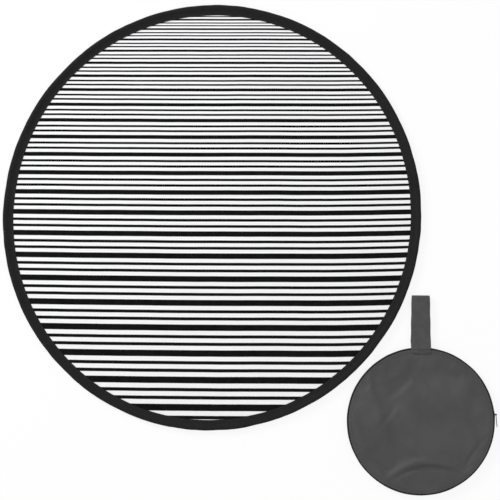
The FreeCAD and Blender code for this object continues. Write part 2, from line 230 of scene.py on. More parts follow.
def use_group(net, tree, inputs):
    """A group placed in a material; returns its outputs by name."""
    made = net.tree.nodes.new("ShaderNodeGroup")
    made.node_tree = tree
    for name, value in inputs.items():
        net.feed(made.inputs[name], value)
    return made.outputs


# %% [markdown]
# ## Weave, fibre and dust
# Every cloth here is a plain weave: threads cross over and under. A product of two sines gives that checker
# of bumps for a few nodes. Real thread isn't even, so the group lets noise push the threads about. Fibre is
# the slow change of tone across a cloth, and dust is the pale fluff that black cloth picks up. All three
# are shared groups.

# %% Shared effects
WEAVE, net, entry, leave = new_group(
    "plain_weave", {"Vector": None, "Thread": 0.0004, "Slub": 0.3}, ["Height"])
drift = net.node("TexNoise", {"Vector": entry.outputs["Vector"], "Scale": 90.0, "Detail": 2.0}, out=0)
axes = net.node("SeparateXYZ", {"Vector": entry.outputs["Vector"]}).node.outputs
waves = []
for axis in (0, 1):
    pushed = net.math("MULTIPLY", net.math("MULTIPLY", drift, entry.outputs["Slub"]), entry.outputs["Thread"])
    place = net.math("ADD", axes[axis], pushed)
    turns = net.math("DIVIDE", place, entry.outputs["Thread"])
    waves.append(net.math("SINE", net.math("MULTIPLY", turns, math.pi)))
height = net.math("MULTIPLY_ADD", net.math("MULTIPLY", waves[0], waves[1]), 0.5, 0.5)
WEAVE.links.new(height, leave.inputs["Height"])

FIBRE, net, entry, leave = new_group("fibre_tone", {"Vector": None, "Scale": 20.0, "Amount": 0.1}, ["Tone"])
broad = net.node("TexNoise", {"Vector": entry.outputs["Vector"], "Scale": entry.outputs["Scale"],
                              "Detail": 5.0})
tone = net.fade(broad, 0.3, 0.7, -1.0, 1.0)
tone = net.math("MULTIPLY_ADD", tone, entry.outputs["Amount"], 1.0)
FIBRE.links.new(tone, leave.inputs["Tone"])

DUST, net, entry, leave = new_group("dust", {"Vector": None, "Scale": 700.0, "Amount": 0.5}, ["Mask"])
specks = net.node("TexNoise", {"Vector": entry.outputs["Vector"], "Scale": entry.outputs["Scale"],
                               "Detail": 3.0})
patches = net.node("TexNoise", {"Vector": entry.outputs["Vector"], "Scale": 14.0, "Detail": 2.0})
mask = net.math("MULTIPLY", net.fade(specks, 0.58, 0.74), net.fade(patches, 0.42, 0.66))
mask = net.math("MULTIPLY", mask, entry.outputs["Amount"])
DUST.links.new(mask, leave.inputs["Mask"])
print("groups:", [tree.name for tree in (WEAVE, FIBRE, DUST)])

# %% [markdown]
# ## Cloth materials
# Polyester, nylon, tape and webbing differ in colour, thread and gloss, but their trees have the same shape:
# a base colour times the fibre tone, with painted shade that darkens it where the weave dips between threads,
# with dust mixed over it, and the weave as a bump. Sheen gives the soft edge that fibres have at low angles.
# Its values are set on the shader's own sockets.

# %% Start a material
def start(name, coordinates="uv"):
    """A material with one Principled shader: returns it, its net, its shader and its coordinates."""
    material = bpy.data.materials.new(name)
    material.use_nodes = True
    net = Net(material.node_tree)
    shader = material.node_tree.nodes["Principled BSDF"]
    if coordinates == "uv":
        where = net.node("UVMap", uv_map="cloth")
    else:
        where = net.node("TexCoord", out=3)
    return material, net, shader, where


def finish_shader(net, shader, colour, roughness, height=None, relief=0.0, **constants):
    """Links colour, roughness and relief, and sets the rest on the shader itself."""
    net.feed(shader.inputs["Base Color"], colour)
    net.feed(shader.inputs["Roughness"], roughness)
    for name, value in constants.items():
        shader.inputs[name.replace("_", " ")].default_value = value
    if height is not None:
        bump = net.node("Bump", {"Height": height, "Distance": relief, "Strength": 1.0})
        net.tree.links.new(bump, shader.inputs["Normal"])


def grey(value, warmth=0.0):
    return (value * (1 + warmth), value, value * (1 - warmth), 1.0)


def scaled(net, colour, factor):
    """A colour times a factor that changes over the surface."""
    return net.node("VectorMath", {0: colour if isinstance(colour, bpy.types.NodeSocket) else colour[:3],
                                   "Scale": factor}, operation="SCALE")


def cloth(name, colour, thread, relief, rough, gap_shade=0.25, amount=0.08, scale=18.0, dust=0.0, sheen=0.2,
          **constants):
    """A plain woven cloth."""
    material, net, shader, where = start(name)
    height = use_group(net, WEAVE, {"Vector": where, "Thread": thread, "Slub": 0.6})["Height"]
    tone = use_group(net, FIBRE, {"Vector": where, "Scale": scale, "Amount": amount})["Tone"]
    # Painted shade: the colour is darkened where the weave's height dips between the threads, times the fibre
    # tone.
    tone_and_painted_shade = net.math("MULTIPLY", tone, net.fade(height, 0.0, 0.8, 1.0 - gap_shade, 1.0))
    tinted = scaled(net, colour, tone_and_painted_shade)
    if dust:
        mask = use_group(net, DUST, {"Vector": where, "Amount": dust})["Mask"]
        tinted = net.mix(mask, tinted, grey(0.32))
    roughness = net.fade(tone, 0.85, 1.15, rough - 0.06, rough + 0.06)
    finish_shader(net, shader, tinted, roughness, height, relief, Sheen_Weight=sheen, **constants)
    return material


# %% [markdown]
# ## The printed lines
# The print repeats one group: a thick line, then two thin ones. The groups spread out from one side to the
# other, so the nth group lies at a distance gap * n + growth * n * n below the first. Turned round, that
# gives n for any point, and its fraction says where in the group the point is. Three soft-edged bands of
# that fraction are the print. This way the lines are sharp however near they are seen, which no picture of
# them would be.

# %% Printed cloth
LINES_TOP = 357.0 * MM
FIRST_GAP = 18.64 * MM
GAP_GROWTH = 0.855 * MM
THIN_LINES = (0.357, 0.648)
THIN_HALF = 0.064
# A thick line takes a fifth of a narrow group and a quarter of a wide one.
THICK_HALF_NARROW, THICK_HALF_WIDE = 0.098, 0.124
GROUPS = 15.0
INK_EDGE = 0.012


def printed_cloth():
    material, net, shader, where = start("printed_cloth")
    v = net.node("SeparateXYZ", {"Vector": where}).node.outputs[1]
    below = net.math("SUBTRACT", LINES_TOP, v)
    inside = net.math("MULTIPLY_ADD", below, 4 * GAP_GROWTH, FIRST_GAP**2)
    root = net.math("SQRT", net.math("MAXIMUM", inside, 0.0))
    count = net.math("DIVIDE", net.math("SUBTRACT", root, FIRST_GAP), 2 * GAP_GROWTH)
    # Ten whole groups are added, so that the fraction also holds above the first line.
    place = net.math("FRACT", net.math("ADD", count, 10.0))
    thick = net.fade(count, 0.0, GROUPS, THICK_HALF_NARROW, THICK_HALF_WIDE)
    edge = net.math("MINIMUM", place, net.math("SUBTRACT", 1.0, place))
    ink = net.math("SUBTRACT", 1.0, net.fade(net.math("SUBTRACT", edge, thick), -INK_EDGE, INK_EDGE))
    for middle in THIN_LINES:
        off = net.math("ABSOLUTE", net.math("SUBTRACT", place, middle))
        thin = net.math("SUBTRACT", 1.0, net.fade(net.math("SUBTRACT", off, THIN_HALF), -INK_EDGE, INK_EDGE))
        ink = net.math("MAXIMUM", ink, thin)
    height = use_group(net, WEAVE, {"Vector": where, "Thread": 0.00045, "Slub": 0.5})["Height"]
    tone = use_group(net, FIBRE, {"Vector": where, "Scale": 7.0, "Amount": 0.012})["Tone"]
    # Painted shade: the white is darkened a little where the weave dips between threads.
    thread_gap_shade = net.fade(height, 0.0, 0.7, 0.93, 1.0)
    white = scaled(net, (0.95, 0.95, 0.955, 1), net.math("MULTIPLY", tone, thread_gap_shade))
    # The ink is a little paler where it soaked in less, and it leaves the cloth slightly smoother.
    soak = use_group(net, FIBRE, {"Vector": where, "Scale": 60.0, "Amount": 0.45})["Tone"]
    black = scaled(net, (0.0035, 0.0035, 0.004, 1), soak)
    colour = net.mix(ink, white, black)
    roughness = net.fade(ink, 0.0, 1.0, 0.78, 0.6)
    finish_shader(net, shader, colour, roughness, height, 0.00008, Specular_IOR_Level=0.05)
    return material


MATERIALS = {
    "printed_cloth": printed_cloth(),
    "back_cloth": cloth("back_cloth", grey(0.86), 0.00045, 0.00008, 0.8, gap_shade=0.1, amount=0.02, scale=7.0,
                        sheen=0.05),
    "binding_tape": cloth("binding_tape", grey(0.0135), 0.0009, 0.0003, 0.75, gap_shade=0.6, amount=0.3, scale=26.0,
                          dust=0.1, sheen=0.015, Specular_IOR_Level=0.14),
    "binding_thread": cloth("binding_thread", grey(0.026), 0.0003, 0.00006, 0.5, amount=0.2, sheen=0.0,
                            Specular_IOR_Level=0.3),
    "pouch_nylon": cloth("pouch_nylon", grey(0.064), 0.0008, 0.0002, 0.5, gap_shade=0.45, amount=0.16, scale=14.0,
                         dust=0.1, sheen=0.03, Specular_IOR_Level=0.35),
    "pouch_piping": cloth("pouch_piping", grey(0.01), 0.0005, 0.0001, 0.6, gap_shade=0.4, amount=0.2, dust=0.1,
                          sheen=0.0, Specular_IOR_Level=0.15),
    "pouch_thread": cloth("pouch_thread", grey(0.035), 0.0003, 0.00006, 0.5, amount=0.2, sheen=0.0,
                          Specular_IOR_Level=0.3),
    "zip_tape": cloth("zip_tape", grey(0.014), 0.0005, 0.0001, 0.66, gap_shade=0.4, amount=0.15, sheen=0.0,
                      Specular_IOR_Level=0.2),
}
print("cloths:", ", ".join(MATERIALS))

# %% [markdown]
# ## Webbing, coil and metal
# Webbing shows ribs across its width, wider than a plain weave, so it has a tree of its own. The nylon coil
# is a smooth plastic. Blued spring steel, zinc plate and enamelled castings share one tree with
# edge-to-edge changes in roughness, because bare metal that reflects evenly looks like paint.

# %% Webbing, plastic and metal
def webbing():
    material, net, shader, where = start("webbing")
    axes = net.node("SeparateXYZ", {"Vector": where}).node.outputs
    along = net.math("MULTIPLY", axes[1], 2 * math.pi / 0.0019)
    across = net.math("MULTIPLY", axes[0], 2 * math.pi / 0.0024)
    herring = net.math("ADD", along, net.math("MULTIPLY", net.math("SINE", across), 1.3))
    ribs = net.math("MULTIPLY_ADD", net.math("SINE", herring), 0.5, 0.5)
    fine = use_group(net, WEAVE, {"Vector": where, "Thread": 0.0004, "Slub": 0.5})["Height"]
    height = net.math("MULTIPLY_ADD", fine, 0.25, ribs)
    tone = use_group(net, FIBRE, {"Vector": where, "Scale": 40.0, "Amount": 0.14})["Tone"]
    # Painted shade and light: the colour is darker in the troughs between the ribs and a touch lighter on
    # their crests, times the fibre tone.
    tone_and_painted_shade = net.math("MULTIPLY", tone, net.fade(height, 0.0, 0.9, 0.62, 1.05))
    finish_shader(net, shader, scaled(net, grey(0.078), tone_and_painted_shade), 0.62, height, 0.00035, Sheen_Weight=0.03,
                  Specular_IOR_Level=0.25)
    return material


def plastic(name, colour):
    material, net, shader, where = start(name, "object")
    tone = use_group(net, FIBRE, {"Vector": where, "Scale": 300.0, "Amount": 0.12})["Tone"]
    roughness = net.fade(tone, 0.85, 1.15, 0.3, 0.46)
    finish_shader(net, shader, scaled(net, colour, tone), roughness, tone, 0.00004, Specular_IOR_Level=0.5)
    return material


def metal(name, colour, metallic, rough, scale, wear):
    """Metal or enamelled metal: wear mixes in a brighter scuffed tone in patches."""
    material, net, shader, where = start(name, "object")
    tone = use_group(net, FIBRE, {"Vector": where, "Scale": scale, "Amount": 0.15})["Tone"]
    scuff = use_group(net, DUST, {"Vector": where, "Scale": scale * 4, "Amount": wear})["Mask"]
    base = net.mix(scuff, scaled(net, colour, tone), grey(0.4))
    roughness = net.fade(tone, 0.85, 1.15, rough - 0.08, rough + 0.1)
    finish_shader(net, shader, base, roughness, tone, 0.00003, Metallic=metallic)
    return material


MATERIALS["webbing"] = webbing()
MATERIALS["zip_coil"] = plastic("zip_coil", grey(0.02))
MATERIALS["zip_metal"] = metal("zip_metal", grey(0.035), 0.55, 0.36, 260.0, 0.6)
MATERIALS["spring_steel"] = metal("spring_steel", (0.30, 0.32, 0.36, 1), 1.0, 0.32, 120.0, 0.3)
MATERIALS["sleeve_steel"] = metal("sleeve_steel", (0.6, 0.6, 0.58, 1), 1.0, 0.38, 160.0, 0.3)


def wear_slot(thing, slot, material=None):
    """Gives a piece its record slot and its finish."""
    thing.data.materials.clear()
    thing.data.materials.append(MATERIALS[material or slot])
    return thing


def metal_of(name):
    """The metal of a small part that is shown just as the frame has it, or None for all the others."""
    if name in ("hoop_sleeve", "hoop_sleeve_rivets"):
        return "sleeve_steel"
    if name.startswith("zip_") and "coil" not in name and "tape" not in name:
        return "zip_metal"
    return None


for name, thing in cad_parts.items():
    if metal_of(name):
        for slot in thing.material_slots:
            slot.material = MATERIALS[metal_of(name)]
print("materials:", len(MATERIALS))

# %% [markdown]
# ## Cutting a whole skin at the folds
# The hoop bends everywhere at once, but the frame carries that as six hinges. A piece can bend across only
# one of them. So each skin is made whole, its normals are kept, and it is cut on the lines halfway between
# the hinges. Each piece then reaches across one hinge, and the kept normals hide the cuts. Round each hinge
# the cloth gets close columns, over a zone kept narrower than the strip.

# %% Cut and bend
BEND_ZONE = 22 * MM
BEND_COLUMNS = 11
BEND_STEP = BEND_ZONE / BEND_COLUMNS
ORDER = ["left_3", "left_2", "left_1", "centre", "right_1", "right_2", "right_3"]
MIDDLE_FOLD = (len(ORDER) - 2) / 2
FOLDS = [(ORDER[k], ORDER[k + 1], (k - MIDDLE_FOLD) * STRIP) for k in range(len(ORDER) - 1)]
CUTS = [x + STRIP / 2 for a, b, x in FOLDS[:-1]]
print("folds at", [round(x, 3) for a, b, x in FOLDS])


def cut_at_folds(whole, slot, stem, material=None):
    """Replaces one whole mesh by six pieces, each reaching across one fold."""
    work = bmesh.new()
    work.from_mesh(whole.data)
    for x in CUTS:
        everything = work.verts[:] + work.edges[:] + work.faces[:]
        bmesh.ops.bisect_plane(work, geom=everything, dist=1e-7, plane_co=(x, 0, 0), plane_no=(1, 0, 0))
    work.normal_update()
    kept = work.verts.layers.float_vector.new("whole_normal")
    for vertex in work.verts:
        vertex[kept] = vertex.normal
    pieces = []
    for index, (a, b, fold) in enumerate(FOLDS):
        part = work.copy()
        away = [f for f in part.faces if bisect.bisect(CUTS, f.calc_center_median().x) != index]
        bmesh.ops.delete(part, geom=away, context="FACES")
        mesh = bpy.data.meshes.new("%s_%s" % (whole.name, b if fold > 0 else a))
        part.to_mesh(mesh)
        part.free()
        layer = mesh.attributes["whole_normal"]
        normals = [tuple(item.vector) for item in layer.data]
        mesh.attributes.remove(layer)
        mesh.polygons.foreach_set("use_smooth", [True] * len(mesh.polygons))
        mesh.normals_split_custom_set_from_vertices(normals)
        piece = bpy.data.objects.new(mesh.name, mesh)
        bpy.context.scene.collection.objects.link(piece)
        wear_slot(piece, slot, material)
        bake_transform(piece)
        if stem:
            names = [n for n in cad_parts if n.startswith(stem) and (a in n or b in n)]
            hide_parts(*names)
        pieces.append(piece)
    work.free()
    bpy.data.objects.remove(whole)
    print(pieces[0].name, "and", len(pieces) - 1, "more")


# %% [markdown]
# ## The two cloths
# Cloth on a hoop is tight but not flat: it has broad shallow waves, and short puckers where the binding
# gathers it. The waves are real height here, so they catch light from every side. Sewing also pulls the
# print a little out of line, lower towards the right and tugged up at the rim, so the flat place of each
# point is shifted the same way.

# %% Cloth height and printed place
WAVE = 1.3 * MM
PUCKER = 0.45 * MM
PUCKER_RADIUS = 0.355
PUCKER_REACH = 0.028
PULL_AT_TOP, PULL_GAIN = 0.3, 5.4
BOW_X = 0.2
BOW_LEFT, BOW_RIGHT = 0.54, 0.19


def cloth_height(x, y):
    """Height of the cloth's middle above the rim's middle plane."""
    radius = math.hypot(x, y)
    edge = max(0.0, (half_width(0) - TAPE_WIDTH - radius) / half_width(0))
    broad = wander(x, y * 0.6, 0.21, 3.1) + 0.45 * wander(x + 0.3 * y, y, 0.095, 7.7)
    settled = min(1.0, edge * 5)
    angle = math.atan2(y, x)
    gathers = wander(math.cos(angle), math.sin(angle), 0.085, 1.4)
    gathers += 0.6 * wander(angle * 0.5, 0.0, 0.02, 9.2)
    near = math.exp(-((radius - PUCKER_RADIUS) / PUCKER_REACH) ** 2) * min(1.0, edge * 40)
    return WAVE * settled * broad + PUCKER * near * gathers


def printed_place(x, y):
    """Where a point of the stretched face lies on the flat print."""
    lower = (LINES_TOP - y) / (2 * LINES_TOP)
    pull = (PULL_AT_TOP + PULL_GAIN * lower) * MM
    span = BOW_LEFT if x < BOW_X else BOW_RIGHT
    bow = 1 - ((x - BOW_X) / span) ** 2
    ripple = 0.35 * MM * (wander(x, y * 0.5, 0.09, 5.5) + 0.5 * wander(x, y, 0.035, 2.2))
    return x, y + pull * (bow - 0.55) + ripple


def oval_sheet(name, lift):
    """A whole oval cloth, as columns of points that end at the binding."""
    edge = half_width(CLOTH_INSET)
    steps = 66
    columns = [edge * 0.9995 * math.sin(math.pi / 2 * i / steps) for i in range(-steps, steps + 1)]
    # Where it bends, the cloth needs close columns, or its flats would cut through the binding on it.
    for fold in [x for a, b, x in FOLDS]:
        columns = [x for x in columns if abs(x - fold) > BEND_ZONE + BEND_STEP / 2]
        columns += [fold + k * BEND_STEP for k in range(-BEND_COLUMNS, BEND_COLUMNS + 1)]
    columns.sort()
    rows = 110
    points, flat = [], []
    for x in columns:
        low, high = reach(x, CLOTH_INSET)
        for j in range(rows + 1):
            y = low + (high - low) * (0.5 - 0.5 * math.cos(math.pi * j / rows))
            points.append((x, y, RIM_MID + lift + cloth_height(x, y)))
            flat.append(printed_place(x, y))
    return mesh_object(name, points, grid_faces(len(columns), rows + 1), flat)


face = oval_sheet("face_sheet", CLOTH_THICK)
back = oval_sheet("back_sheet", -CLOTH_THICK)
# Both are laid out alike, so one of them has its outer side inwards.
inside_out = back if face.data.polygons[0].normal.z > 0 else face
inside_out.data.flip_normals()
cut_at_folds(face, "printed_cloth", "face_cloth")
cut_at_folds(back, "back_cloth", "back_cloth")

# %% [markdown]
# ## The binding
# A 20 mm tape is folded over the hoop and both cloths, and sewn through. So its section is a teardrop:
# round and full over the steel band, then thin down to the seam. A sweep round the oval carries that
# section, and small gathers are added along it, deepest just outside the seam, because a straight tape has
# to shrink to go round a curve.

# %% Section of the binding
TAPE_TOP = CLOTH_THICK + TAPE_THICK
SEAM = 17.6 * MM
STATIONS = 1280
CIRCUMFERENCE = math.pi * (RIM_MAJOR + RIM_MINOR)
BULGE_WIDE = 4.3 * MM
GATHER_PITCH = 7.4 * MM
STITCH_PITCH = 3.4 * MM


def tape_height(inset, run):
    """Height of the tape above the middle plane, at an inset from the outline and a run round it."""
    off = abs(inset - BULGE_WIDE) / BULGE_WIDE
    bulge = RIM_HALF * max(0.0, 1 - off**2.3) ** (1 / 2.3)
    thin = TAPE_TOP + 0.25 * MM * math.exp(-((inset - 13 * MM) / (3 * MM)) ** 2)
    thin -= 0.3 * MM * math.exp(-((inset - SEAM) / (0.8 * MM)) ** 2)
    slope = max(0.0, min(1.0, (14 * MM - inset) / (9 * MM)))
    body = thin + (RIM_HALF * 0.97 - thin) * slope * slope * (3 - 2 * slope)
    height = min(bulge, body) if inset < BULGE_WIDE else body
    swell = math.exp(-((inset - 13.5 * MM) / (5 * MM)) ** 2)
    beat = run / GATHER_PITCH + 1.4 * noise.noise(Vector((run / 0.05, 4.0, 0.0)))
    gather = math.sin(2 * math.pi * beat) * (0.6 + 0.4 * noise.noise(Vector((run / 0.021, 0.0, 8.0))))
    return height + 0.2 * MM * swell * gather


def rim_sway(run):
    """The outline's small kinks and swellings."""
    phase = 2 * math.pi * run / CIRCUMFERENCE
    x, y = math.cos(phase), math.sin(phase)
    return 0.9 * MM * wander(x, y, 0.16, 2.0) + 0.45 * MM * wander(x, y, 0.045, 6.0)


# Rows of points across the tape in millimetres, closest at its outer edge and at the seam.
INSETS = [0.0, 0.25, 0.8, 1.7, 3.0, 4.6, 6.2, 7.8, 9.4, 11.0, 12.6, 14.2, 15.8, 17.0, 17.6, 18.4, 19.4, 20.0]


def station(index):
    angle = 2 * math.pi * index / STATIONS
    return angle, CIRCUMFERENCE * index / STATIONS


def tape_point(angle, run, inset, height):
    """A point on the tape: the sway moves the rim more than the seam."""
    sway = rim_sway(run) * max(0.0, 1 - inset / (26 * MM))
    sway += 0.35 * MM * noise.noise(Vector((run / 0.03, 0, 3)))
    flat = on_oval(angle, inset + max(0.0, sway + 0.25 * MM))
    lift = cloth_height(flat.x, flat.y) if inset > 12 * MM else 0.0
    return (flat.x, flat.y, RIM_MID + height + lift)


def binding():
    points, flat = [], []
    profile = [(i * MM, 1) for i in reversed(INSETS)] + [(i * MM, -1) for i in INSETS[1:]]
    profile = [(TAPE_WIDTH + 0.05 * MM, 0.4)] + profile + [(TAPE_WIDTH + 0.05 * MM, -0.4)]
    for index in range(STATIONS):
        angle, run = station(index)
        for inset, side in profile:
            points.append(tape_point(angle, run, inset, side * tape_height(min(inset, TAPE_WIDTH), run)))
            flat.append((run, inset if side > 0 else -inset))
    faces = grid_faces(STATIONS, len(profile), closed_rows=True)
    return mesh_object("binding", points, faces, flat)


cut_at_folds(binding(), "binding_tape", "binding_")

# %% [markdown]
# ## Stitches
# A machine stitch shows as a short raised bead of thread that dips into the cloth at each end. One function
# makes a bead between two points, and each seam joins its beads in one mesh, so a seam of hundreds is still
# one piece.

# %% Stitch beads
def bead(points, faces, flat, a, b, up, radius):
    """A bead of thread from a to b, arched towards up."""
    a, b, up = Vector(a), Vector(b), Vector(up)
    along = (b - a).normalized()
    side = along.cross(up).normalized()
    first = len(points)
    rings = ((0.0, 0.35, -0.9), (0.16, 0.9, 0.1), (0.5, 1.0, 0.45), (0.84, 0.9, 0.1), (1.0, 0.35, -0.9))
    for share, size, lift in rings:
        centre = a.lerp(b, share) + up * radius * lift
        for k in range(6):
            turn = math.pi * k / 3
            points.append(centre + (side * math.cos(turn) + up * math.sin(turn)) * radius * size)
            flat.append((share * 0.003, k * 0.0002))
    for r in range(len(rings) - 1):
        for k in range(6):
            n = (k + 1) % 6
            base = first + r * 6
            faces.append((base + k, base + n, base + 6 + n, base + 6 + k))
    faces.append(tuple(first + k for k in reversed(range(6))))
    faces.append(tuple(first + (len(rings) - 1) * 6 + k for k in range(6)))


def binding_stitches():
    points, faces, flat = [], [], []
    count = int(CIRCUMFERENCE / STITCH_PITCH)
    for side in (1, -1):
        for index in range(count):
            ends = []
            for share in (0.1, 0.84):
                run = CIRCUMFERENCE * (index + share) / count
                angle = 2 * math.pi * (index + share) / count
                ends.append(tape_point(angle, run, SEAM, side * (tape_height(SEAM, run) + 0.02 * MM)))
            bead(points, faces, flat, ends[0], ends[1], (0, 0, side), 0.27 * MM)
    return mesh_object("binding_stitches", points, faces, flat)


cut_at_folds(binding_stitches(), "binding_tape", "", material="binding_thread")

# %% [markdown]
# ## The spring-steel band
# The band stands on edge inside the binding, with rolled edges. Nobody sees it until the panel is taken
# apart, but it must bend with the rim, so it is cut at the folds like the cloth.

# %% Hoop
def hoop():
    band_low, band_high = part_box("hoop_band_right_3")
    half_high = (band_high[2] - band_low[2]) / 2
    middle, half_thick = 3.2 * MM, 0.3 * MM
    corner = 0.15 * MM
    profile = []
    for side in (1, -1):
        profile += [(side * half_thick, side * (half_high - corner) * k / 3) for k in (-3, 0, 3)]
        profile.append((side * (half_thick - corner), side * half_high))
    points, flat = [], []
    for index in range(STATIONS // 2):
        angle, run = station(index * 2)
        for across, up in profile:
            spot = on_oval(angle, middle - across)
            points.append((spot.x, spot.y, RIM_MID + up))
            flat.append((run, up))
    faces = grid_faces(STATIONS // 2, len(profile), closed_rows=True, closed_columns=True)
    return mesh_object("hoop_steel", points, faces, flat)


cut_at_folds(hoop(), "spring_steel", "hoop_band")

# %% [markdown]
# ## The pouch's front, slack nylon
# An empty pouch lies flat with its front loose. Loose cloth on a fixed edge buckles into soft folds, which is
# hard to draw and easy to simulate: a disc of cloth is made a little too big for its pinned edge, and it
# finds its own folds. It starts from a given shape, with long soft folds, a dish that the strap drags in
# below its root, and a crease at the bottom, where the pouch folded over itself in storage.

# %% Slack disc
CELLS = 64


def crease(x, y, ax, ay, bx, by, bow, width):
    """How near a point is to a bowed crease between two points, 1 on it and 0 away from it."""
    dx, dy = bx - ax, by - ay
    length = math.hypot(dx, dy)
    along = ((x - ax) * dx + (y - ay) * dy) / length**2
    off = ((x - ax) * dy - (y - ay) * dx) / length
    if not -0.25 < along < 1.25:
        return 0.0
    off -= bow * 4 * along * (1 - along)
    ends = max(0.0, min(1.0, 1.0 - abs(along - 0.5) * 1.7 + 0.35))
    return math.exp(-((off / width) ** 2)) * min(1.0, ends * 2.0) * ends


def front_height(x, y):
    """The given part of the front's height, before the cloth settles, with x and y as shares of the radius.
    """
    radius = min(1.0, math.hypot(x, y))
    crown = 3.2 * MM * (1 - radius**4)
    loose = 1 - radius**8
    puff = 3.4 * MM * wander(x, y * 0.75, 0.62, 2.7) * loose
    # Long soft folds run down the front, fanning out a little, with shorter ones across them.
    fan = x + 0.22 * x * y + 0.07 * math.sin(3.1 * y)
    puff += 2.6 * MM * wander(fan, y * 0.28, 0.27, 8.1) * loose
    puff += 1.1 * MM * wander(fan + 0.35 * y, y * 0.5, 0.13, 5.3) * loose
    # The fold at the bottom: a lip stands up beside a groove.
    groove = crease(x, y, -0.42, -0.82, 0.42, -0.68, -0.12, 0.035)
    lip = crease(x, y, -0.42, -0.76, 0.42, -0.60, -0.12, 0.07)
    # The strap drags the cloth into a shallow dish below its root.
    dish = crease(x, y, -0.45, 0.62, 0.45, 0.62, -0.03, 0.13)
    drag = crease(x, y, -0.45, 0.33, -0.1, 0.72, 0.05, 0.05)
    drag += crease(x, y, -0.6, -0.1, -0.35, 0.2, 0.0, 0.04)
    tuck = crease(x, y, 0.62, -0.62, 0.86, -0.25, -0.03, 0.035)
    tuck += crease(x, y, -0.66, -0.52, -0.45, -0.72, 0.0, 0.04)
    low = 2.4 * MM * dish + 1.7 * MM * (drag + 0.8 * tuck)
    return max(-0.4 * MM, crown + puff + 3.4 * MM * lip - 4.6 * MM * groove - low)


def slack_disc(name, height):
    """A disc made of a square grid pressed round: cloth on spokes would pinch into a star at their middle."""
    points, flat = [], []
    for row in range(CELLS + 1):
        b = 2 * row / CELLS - 1
        for column in range(CELLS + 1):
            a = 2 * column / CELLS - 1
            x, y = a * math.sqrt(1 - b * b / 2), b * math.sqrt(1 - a * a / 2)
            points.append((POUCH.x + SKIN_RADIUS * x, POUCH.y + SKIN_RADIUS * y, height(x, y)))
            flat.append((SKIN_RADIUS * x, SKIN_RADIUS * y))
    return mesh_object(name, points, grid_faces(CELLS + 1, CELLS + 1), flat)


front = slack_disc("pouch_front", lambda x, y: FRONT_EDGE + front_height(x, y))
print("front disc:", len(front.data.vertices), "points")

# %% [markdown]
# The simulation runs on that disc. Its edge is pinned, and the cloth is told that it is 1.3% larger than it
# is. Gravity is off, because nothing is modelled inside the pouch for the front to rest on, and it would
# sink through the back. How far points move is printed: where many reach the cap, the folds are the cap's
# and not the cloth's. The modifier is taken off again, so only the mesh stays.

# %% Let the front settle
FRAMES = 24
MOST_MOVE = 7.0 * MM
FREE_SHARE = 0.93
PIN_FADE = 0.05


def settle(thing):
    start_points = [v.co.copy() for v in thing.data.vertices]
    pins = thing.vertex_groups.new(name="pins")
    for index, point in enumerate(start_points):
        share = (Vector((point.x, point.y, 0)) - POUCH).length / SKIN_RADIUS
        pins.add([index], max(0.0, min(1.0, (share - FREE_SHARE) / PIN_FADE)), "REPLACE")
    modifier = thing.modifiers.new("settle", "CLOTH")
    setup = modifier.settings
    setup.quality = 6
    setup.mass = 0.2
    setup.tension_stiffness = setup.compression_stiffness = 18
    setup.shear_stiffness = 8
    setup.bending_stiffness = 0.5
    setup.vertex_group_mass = "pins"
    setup.shrink_min = setup.shrink_max = -0.013
    setup.use_pressure = True
    setup.uniform_pressure_force = 0.01
    setup.effector_weights.gravity = 0.0
    modifier.point_cache.frame_start, modifier.point_cache.frame_end = 1, FRAMES
    scene = bpy.context.scene
    for step in range(1, FRAMES + 1):
        scene.frame_set(step)
    result = thing.evaluated_get(bpy.context.evaluated_depsgraph_get())
    settled = [v.co.copy() for v in result.data.vertices]
    thing.modifiers.remove(modifier)
    scene.frame_set(1)
    moves = []
    for vertex, before, after in zip(thing.data.vertices, start_points, settled):
        move = after - before
        moves.append(move.length)
        if move.length > MOST_MOVE:
            move = move * (MOST_MOVE / move.length)
        vertex.co = before + move
    moves.sort()
    capped = sum(1 for length in moves if length > MOST_MOVE)
    print("settled: middle", round(moves[len(moves) // 2] * 1000, 2), "mm, most", round(moves[-1] * 1000, 2),
          "mm,", capped, "points capped")


settle(front)

# %% [markdown]
# ## Finish the front
# One subdivision rounds the folds, and a thickness makes it cloth rather than paper.

# %% Front and back panels
PANEL_THICK = 0.5 * MM


def opens(piece):
    """Bakes the place of a pouch piece from the half that opens into its mesh."""
    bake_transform(piece)


def on_pouch(piece, slot, *nodes, flap=False):
    """Gives a pouch piece its finish, then its body, or a baked place if it is on the half that opens, and
    hides the frame's nodes that it stands for.
    """
    wear_slot(piece, slot)
    if flap:
        opens(piece)
    else:
        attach(piece, "pouch")
    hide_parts(*nodes)
    print(piece.name, "stands for", ", ".join(nodes))


def thicken(thing, levels=0):
    """Subdivides and gives thickness inwards, applied to the mesh."""
    if levels:
        modifier = thing.modifiers.new("smooth", "SUBSURF")
        modifier.levels = modifier.render_levels = levels
    solid = thing.modifiers.new("thickness", "SOLIDIFY")
    solid.thickness = PANEL_THICK
    solid.offset = -1.0
    graph = bpy.context.evaluated_depsgraph_get()
    result = thing.evaluated_get(graph)
    mesh = bpy.data.meshes.new_from_object(result, preserve_all_data_layers=True, depsgraph=graph)
    thing.modifiers.clear()
    thing.data = mesh
    return thing


def surface_of(thing):
    """A search tree of a mesh, which finds how high it lies."""
    corners = [v.co.copy() for v in thing.data.vertices]
    return BVHTree.FromPolygons(corners, [tuple(p.vertices) for p in thing.data.polygons])


def height_over(surface, x, y, beside):
    """Height of a surface over a point, or the value given for points beside it."""
    hit = surface.ray_cast(Vector((x, y, 0.1)), Vector((0, 0, -1)))[0]
    return hit.z if hit else beside


thicken(front, levels=1)
FRONT_SURFACE = surface_of(front)
on_pouch(front, "pouch_nylon", "pouch_front_panel", "pouch_flap_panel", flap=True)


